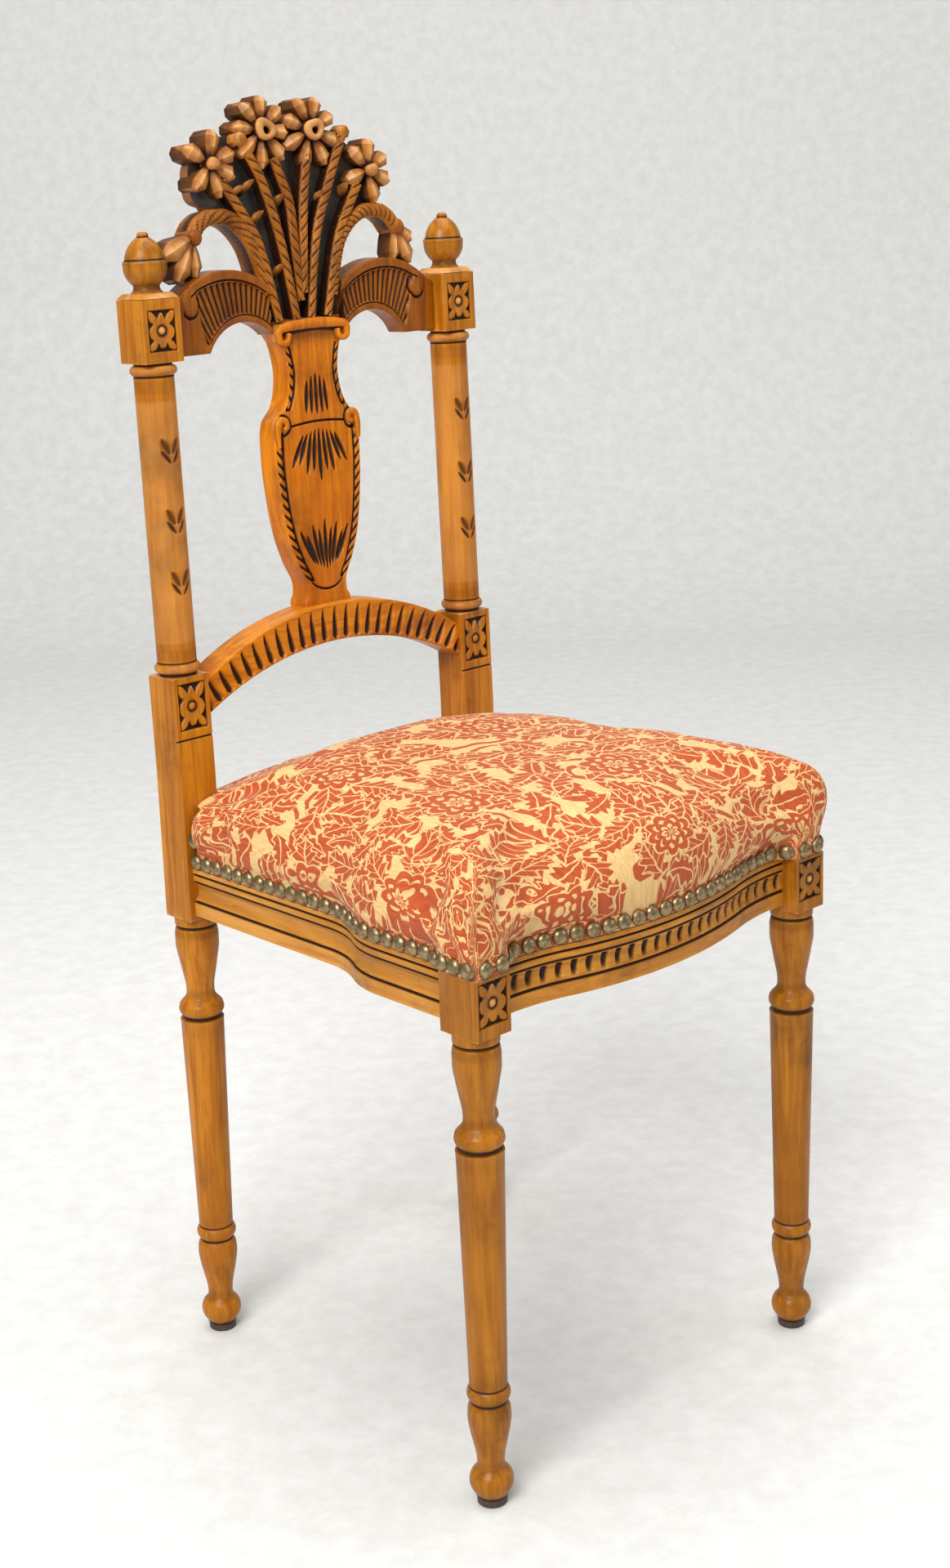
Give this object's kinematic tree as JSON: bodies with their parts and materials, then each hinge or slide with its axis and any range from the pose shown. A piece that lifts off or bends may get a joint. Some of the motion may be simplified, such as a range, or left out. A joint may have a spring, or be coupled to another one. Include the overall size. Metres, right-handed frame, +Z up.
{
  "type": "carved wooden side chair",
  "caption": "Carved wooden side chair with turned tapered legs, serpentine moulded rails, a vase splat under a flower bouquet crest, acorn finials and a nailed brocade seat.",
  "frame": {"origin": "on the floor, under the centre of the chair's bounding box", "axes": "+Z up, the front of the seat faces -Y, +X is to the right of someone looking at the front"},
  "size_m": [0.389, 0.4197, 1.0027],
  "materials": {
    "carved_wood": "satin lacquer, antiqued",
    "turned_wood": "satin lacquer, antiqued",
    "rail_wood": "satin lacquer, antiqued",
    "inner_wood": "bare",
    "brocade": "woven floral brocade",
    "brass_nails": "antiqued",
    "webbing": "jute webbing",
    "hessian": "jute cloth",
    "dust_cloth": "black cambric",
    "screw_steel": "bright",
    "glide_plastic": "matte"
  },
  "bodies": {
    "root": {"arched_rail": "carved_wood", "vase_splat": "carved_wood", "crest_wing_left": "carved_wood", "crest_wing_right": "carved_wood", "bouquet": "carved_wood", "front_leg_left": "turned_wood", "front_leg_right": "turned_wood", "rear_post_left": "turned_wood", "rear_post_right": "turned_wood", "finial_left": "turned_wood", "finial_right": "turned_wood", "front_rail": "rail_wood", "side_rail_left": "rail_wood", "side_rail_right": "rail_wood", "rear_rail": "rail_wood", "front_corner_block_left": "inner_wood", "front_corner_block_right": "inner_wood", "rear_corner_block_left": "inner_wood", "rear_corner_block_right": "inner_wood", "crest_dowels": "inner_wood", "seat_pad": "brocade", "nails_front": "brass_nails", "nails_left": "brass_nails", "nails_right": "brass_nails", "nails_back": "brass_nails", "webbing_lengthwise": "webbing", "webbing_crosswise": "webbing", "hessian": "hessian", "dust_cover": "dust_cloth", "corner_screws": "screw_steel", "front_glide_left": "glide_plastic", "front_glide_right": "glide_plastic", "rear_glide_left": "glide_plastic", "rear_glide_right": "glide_plastic"}
  },
  "joints": []
}
